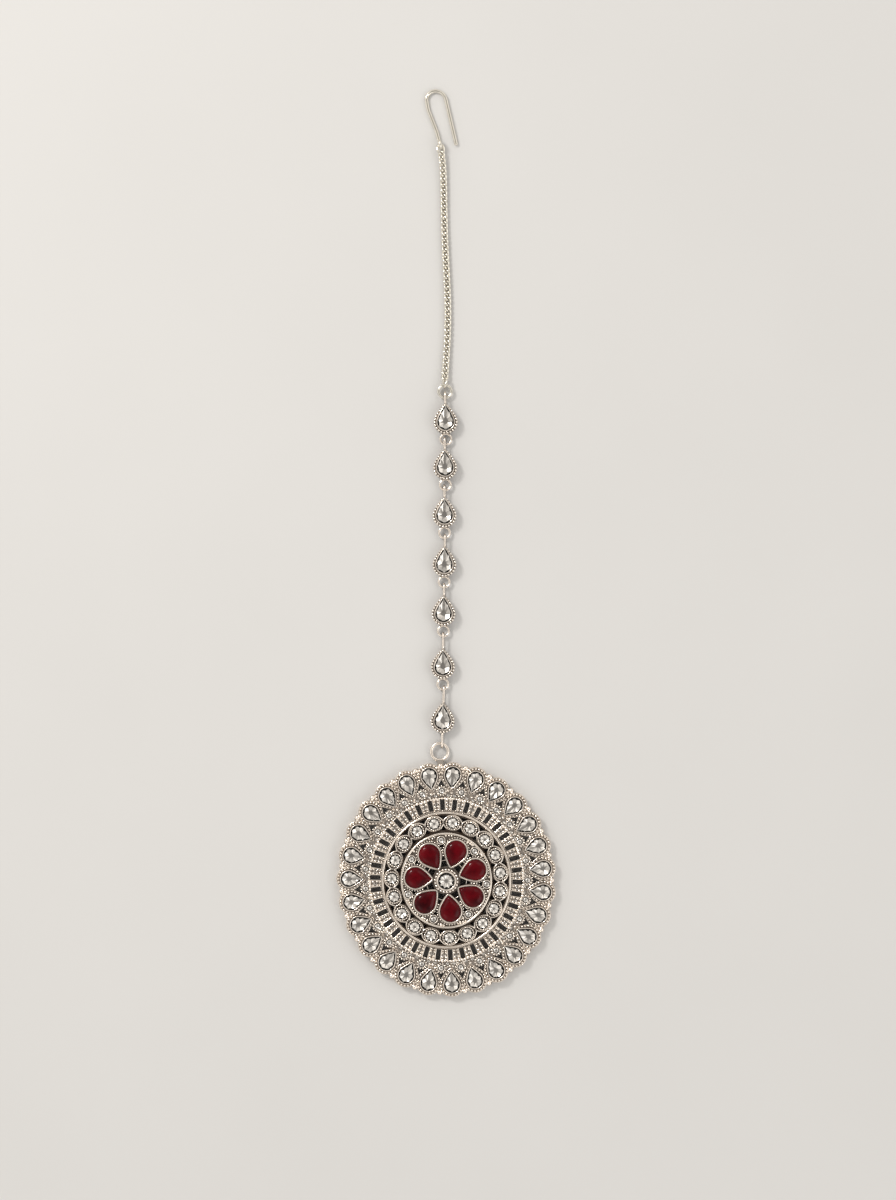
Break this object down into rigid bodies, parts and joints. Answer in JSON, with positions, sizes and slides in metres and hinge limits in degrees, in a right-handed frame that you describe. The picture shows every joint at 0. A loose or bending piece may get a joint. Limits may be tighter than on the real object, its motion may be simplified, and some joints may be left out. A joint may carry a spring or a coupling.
{
  "type": "maang tikka",
  "caption": "Forehead jewel lying flat: hair hook, fine curb chain, pear stone links and a domed oval openwork pendant with a red pear-stone flower.",
  "frame": {"origin": "middle of the jewel's length and width, on the surface that it lies on", "axes": "+Y from the pendant up to the hook, +Z out of the pendant's face, +X to the right seen from the front"},
  "size_m": [0.0449, 0.1862, 0.0053],
  "materials": {
    "silver_metal": "polished",
    "clear_stone": "faceted",
    "ruby_stone": "cabochon"
  },
  "bodies": {
    "root": {"hook": "silver_metal", "chain": "silver_metal", "jump_ring": "silver_metal", "pendant_frame": "silver_metal", "link_1": "silver_metal", "link_2": "silver_metal", "link_3": "silver_metal", "link_4": "silver_metal", "link_5": "silver_metal", "link_6": "silver_metal", "link_7": "silver_metal", "link_stone_1": "clear_stone", "link_stone_2": "clear_stone", "link_stone_3": "clear_stone", "link_stone_4": "clear_stone", "link_stone_5": "clear_stone", "link_stone_6": "clear_stone", "link_stone_7": "clear_stone", "rim_stones": "clear_stone", "web_stones": "clear_stone", "band_stones": "clear_stone", "flower_stones": "clear_stone", "centre_stone": "clear_stone", "ruby_1": "ruby_stone", "ruby_2": "ruby_stone", "ruby_3": "ruby_stone", "ruby_4": "ruby_stone", "ruby_5": "ruby_stone", "ruby_6": "ruby_stone", "ruby_7": "ruby_stone"}
  },
  "joints": []
}
